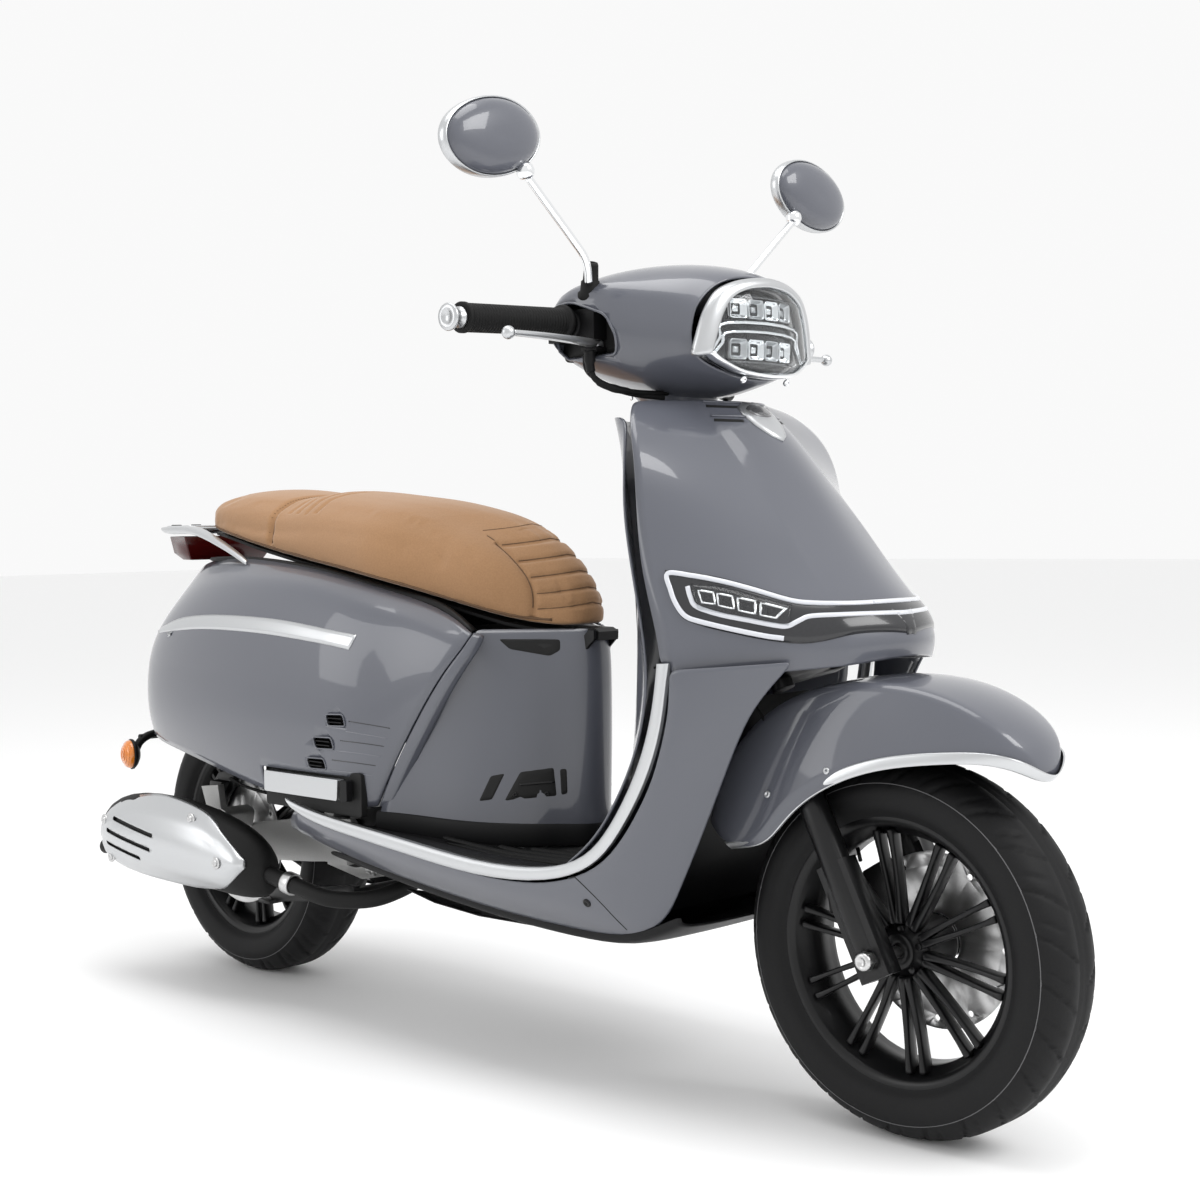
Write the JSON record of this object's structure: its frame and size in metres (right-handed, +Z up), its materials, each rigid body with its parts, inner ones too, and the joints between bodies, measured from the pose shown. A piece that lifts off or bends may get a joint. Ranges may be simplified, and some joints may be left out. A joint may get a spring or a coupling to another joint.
{
  "type": "moped scooter",
  "caption": "Step-through motor scooter with leg shield, rounded side cowls, tan two-level seat, round-back mirrors, telescopic fork and swinging engine unit.",
  "frame": {"origin": "on the ground, midway between the two axles, on the centre plane", "axes": "+X forward along the scooter, +Y to the rider's left, +Z up"},
  "size_m": [1.7888, 0.7866, 1.2751],
  "materials": {
    "paint_grey": "gloss paint",
    "satin_silver": "satin",
    "black_plastic": "fine texture",
    "rubber_black": "ribbed",
    "tyre_black": "moulded tread",
    "seat_suede": "suede, sewn",
    "chrome": "polished",
    "steel": "ground",
    "cast_alloy": "cast",
    "frame_black": "semi-gloss black",
    "lamp_lens": "clear moulded lens",
    "tail_lens": "red moulded lens",
    "amber_lens": "amber moulded lens"
  },
  "bodies": {
    "root": {"main_frame": "frame_black", "front_panel": "paint_grey", "light_bar": "lamp_lens", "under_tray": "black_plastic", "inner_leg_shield": "paint_grey", "side_skirts": "paint_grey", "side_trims": "satin_silver", "floor_panel": "black_plastic", "floor_mat": "rubber_black", "seat_pedestal": "paint_grey", "cowl_right": "paint_grey", "cowl_left": "paint_grey", "tail_light": "tail_lens", "grab_rail": "satin_silver", "rear_mudguard": "black_plastic", "turn_signals": "amber_lens", "storage_bin": "black_plastic", "fuel_tank": "frame_black", "shock_body": "frame_black", "shock_spring": "chrome"},
    "steering": {"steering_stem": "frame_black", "fork_tubes": "chrome", "handlebar": "frame_black", "bar_ends": "satin_silver", "nacelle": "paint_grey", "headlight": "lamp_lens", "headlight_bezel": "satin_silver", "instrument": "lamp_lens", "grip_left": "rubber_black", "master_cylinders": "black_plastic", "mirror_stems": "chrome", "front_fender": "paint_grey", "fender_trim": "satin_silver", "brake_hoses": "rubber_black"},
    "throttle": {"throttle_grip": "rubber_black"},
    "brake_lever_right": {"lever_right": "satin_silver"},
    "brake_lever_left": {"lever_left": "satin_silver"},
    "mirror_head_right": {"mirror_right": "paint_grey"},
    "mirror_head_left": {"mirror_left": "paint_grey"},
    "start_switch": {"start_button": "black_plastic"},
    "horn_switch": {"horn_button": "black_plastic"},
    "fork_lower": {"fork_lowers": "frame_black", "front_axle": "steel", "front_caliper": "frame_black"},
    "front_wheel": {"front_rim": "frame_black", "front_tyre": "tyre_black", "front_disc": "steel"},
    "engine": {"engine_case": "cast_alloy", "muffler": "frame_black", "heat_shield": "satin_silver", "rear_caliper": "frame_black"},
    "rear_wheel": {"rear_rim": "frame_black", "rear_tyre": "tyre_black", "rear_disc": "steel"},
    "shock_lower": {"shock_rod": "steel"},
    "seat": {"seat_cushion": "seat_suede", "seat_base": "black_plastic"},
    "footrest_arm_right": {"footrest_right": "satin_silver"},
    "footrest_arm_left": {"footrest_left": "satin_silver"},
    "stand": {"centre_stand": "frame_black"}
  },
  "joints": [
    {"name": "steering_turn", "type": "hinge", "parent": "root", "child": "steering", "pos_m": [0.268, 0, 0.94], "axis": [-0.4384, 0, 0.8988], "range_deg": [-32, 32]},
    {"name": "fork_travel", "type": "slide", "parent": "steering", "child": "fork_lower", "axis": [-0.4384, 0, 0.8988], "range_m": [0, 0.07], "stiffness_N_per_m": 9000, "springref_m": -0.09},
    {"name": "front_wheel_spin", "type": "hinge", "parent": "fork_lower", "child": "front_wheel", "pos_m": [0.665, 0, 0.2294], "axis": [0, 1, 0], "continuous": true},
    {"name": "throttle_twist", "type": "hinge", "parent": "steering", "child": "throttle", "pos_m": [0.226, -0.15, 1.015], "axis": [0.0215, -0.9991, -0.0376], "range_deg": [0, 75], "stiffness_Nm_per_rad": 0.4, "springref_deg": -34.38},
    {"name": "brake_lever_right_pull", "type": "hinge", "parent": "steering", "child": "brake_lever_right", "pos_m": [0.258, -0.126, 0.985], "axis": [0, 0, -1], "range_deg": [0, 14], "stiffness_Nm_per_rad": 3, "springref_deg": -5.73},
    {"name": "brake_lever_left_pull", "type": "hinge", "parent": "steering", "child": "brake_lever_left", "pos_m": [0.258, 0.126, 0.985], "axis": [0, 0, 1], "range_deg": [0, 14], "stiffness_Nm_per_rad": 3, "springref_deg": -5.73},
    {"name": "mirror_right_tilt", "type": "hinge", "parent": "steering", "child": "mirror_head_right", "pos_m": [0.28, -0.2676, 1.188], "axis": [0, 1, 0], "range_deg": [-15, 15]},
    {"name": "mirror_left_tilt", "type": "hinge", "parent": "steering", "child": "mirror_head_left", "pos_m": [0.28, 0.2676, 1.188], "axis": [0, 1, 0], "range_deg": [-15, 15]},
    {"name": "start_button_press", "type": "slide", "parent": "steering", "child": "start_switch", "axis": [1, 0, 0], "range_m": [0, 0.0025], "stiffness_N_per_m": 400, "springref_m": -0.002},
    {"name": "horn_button_press", "type": "slide", "parent": "steering", "child": "horn_switch", "axis": [1, 0, 0], "range_m": [0, 0.0025], "stiffness_N_per_m": 400, "springref_m": -0.002},
    {"name": "engine_swing", "type": "hinge", "parent": "root", "child": "engine", "pos_m": [-0.27, 0, 0.3], "axis": [0, 1, 0], "range_deg": [0, 5.5], "stiffness_Nm_per_rad": 2200, "springref_deg": -11.46},
    {"name": "rear_wheel_spin", "type": "hinge", "parent": "engine", "child": "rear_wheel", "pos_m": [-0.665, 0, 0.2294], "axis": [0, 1, 0], "continuous": true},
    {"name": "shock_travel", "type": "slide", "parent": "root", "child": "shock_lower", "axis": [0.1339, 0, 0.991], "range_m": [0, 0.03487], "deforming": ["shock_spring"]},
    {"name": "centre_stand_fold", "type": "hinge", "parent": "engine", "child": "stand", "pos_m": [-0.3, 0, 0.188], "axis": [0, -1, 0], "range_deg": [0, 75], "stiffness_Nm_per_rad": 6, "springref_deg": -34.38},
    {"name": "seat_lift", "type": "hinge", "parent": "root", "child": "seat", "pos_m": [0.158, 0, 0.596], "axis": [0, 1, 0], "range_deg": [0, 48]},
    {"name": "footrest_right_fold", "type": "hinge", "parent": "root", "child": "footrest_arm_right", "pos_m": [-0.273, -0.2032, 0.3552], "axis": [1, 0, 0], "range_deg": [0, 85]},
    {"name": "footrest_left_fold", "type": "hinge", "parent": "root", "child": "footrest_arm_left", "pos_m": [-0.273, 0.2032, 0.3552], "axis": [-1, 0, 0], "range_deg": [0, 85]}
  ],
  "couplings": [
    {"joint": "shock_travel", "follows": "engine_swing", "m_per_rad": 0.35613}
  ]
}
